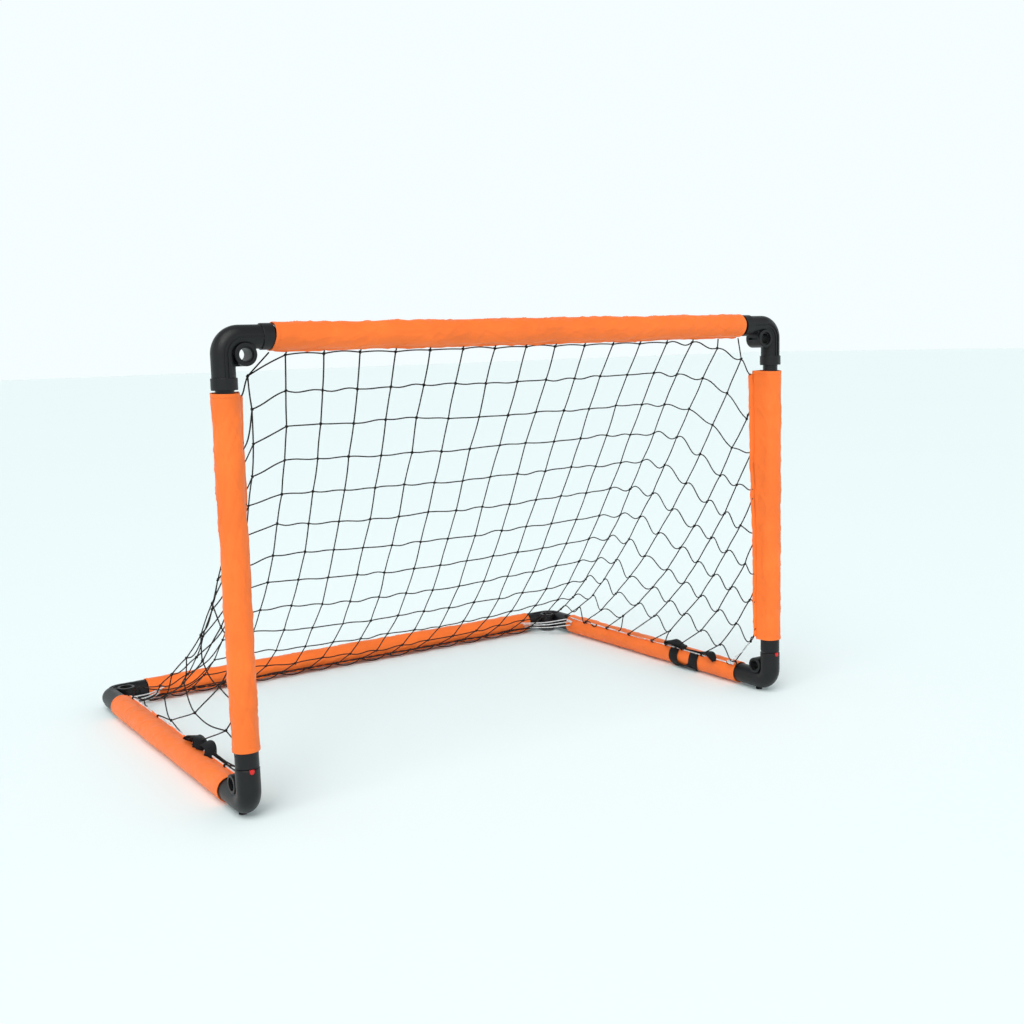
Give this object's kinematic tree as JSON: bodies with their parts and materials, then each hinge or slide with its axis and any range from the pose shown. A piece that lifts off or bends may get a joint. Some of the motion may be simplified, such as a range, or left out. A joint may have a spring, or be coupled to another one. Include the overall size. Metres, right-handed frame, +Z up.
{
  "type": "folding soccer goal frame",
  "caption": "Small soccer goal with a padded tube frame, moulded corner elbows and a knotted net; its front frame folds down over the base.",
  "frame": {"origin": "on the ground, in the middle of the goal's footprint", "axes": "+Z up, +X across the mouth to the right as seen by a player facing the goal, +Y from the mouth to the back; the mouth faces -Y"},
  "size_m": [0.9, 0.63, 0.59],
  "materials": {
    "black_plastic": "satin",
    "tube_plastic": "gloss",
    "orange_fabric": "satin",
    "foam": "matte",
    "net_twine": "matte",
    "black_webbing": "matte",
    "white_cord": "matte",
    "red_plastic": "gloss",
    "steel": "satin",
    "black_rubber": "matte"
  },
  "bodies": {
    "base": {"rear_rail_tube": "tube_plastic", "rear_rail_liner": "foam", "rear_rail_sleeve": "orange_fabric", "left_rail_tube": "tube_plastic", "left_rail_liner": "foam", "left_rail_sleeve": "orange_fabric", "right_rail_tube": "tube_plastic", "right_rail_liner": "foam", "right_rail_sleeve": "orange_fabric", "rear_elbow_left": "black_plastic", "front_elbow_left": "black_plastic", "front_foot_left": "black_rubber", "rear_foot_left": "black_rubber", "hinge_link_left": "black_plastic", "hinge_pin_left": "steel", "button_spring_left": "steel", "net_side_left": "net_twine", "edge_cord_left": "white_cord", "rail_strap_left": "black_webbing", "rear_elbow_right": "black_plastic", "front_elbow_right": "black_plastic", "front_foot_right": "black_rubber", "rear_foot_right": "black_rubber", "hinge_link_right": "black_plastic", "hinge_pin_right": "steel", "button_spring_right": "steel", "net_side_right": "net_twine", "edge_cord_right": "white_cord", "rail_strap_right": "black_webbing", "net_back": "net_twine"},
    "front_frame": {"crossbar_tube": "tube_plastic", "crossbar_liner": "foam", "crossbar_sleeve": "orange_fabric", "left_post_tube": "tube_plastic", "left_post_liner": "foam", "left_post_sleeve": "orange_fabric", "right_post_tube": "tube_plastic", "right_post_liner": "foam", "right_post_sleeve": "orange_fabric", "top_elbow_left": "black_plastic", "hinge_collar_left": "black_plastic", "top_elbow_right": "black_plastic", "hinge_collar_right": "black_plastic"},
    "lock_button_left": {"lock_button_left": "red_plastic"},
    "lock_button_right": {"lock_button_right": "red_plastic"}
  },
  "joints": [
    {"name": "frame_fold", "type": "hinge", "parent": "base", "child": "front_frame", "pos_m": [0, -0.2985, 0.0835], "axis": [-1, 0, 0], "range_deg": [0, 90], "deforming": ["net_back", "net_side_left", "net_side_right"]},
    {"name": "lock_press_left", "type": "slide", "parent": "base", "child": "lock_button_left", "axis": [0, 1, 0], "range_m": [0, 0.0025], "stiffness_N_per_m": 1200, "springref_m": -0.001, "deforming": ["button_spring_left"]},
    {"name": "lock_press_right", "type": "slide", "parent": "base", "child": "lock_button_right", "axis": [0, 1, 0], "range_m": [0, 0.0025], "stiffness_N_per_m": 1200, "springref_m": -0.001, "deforming": ["button_spring_right"]}
  ]
}
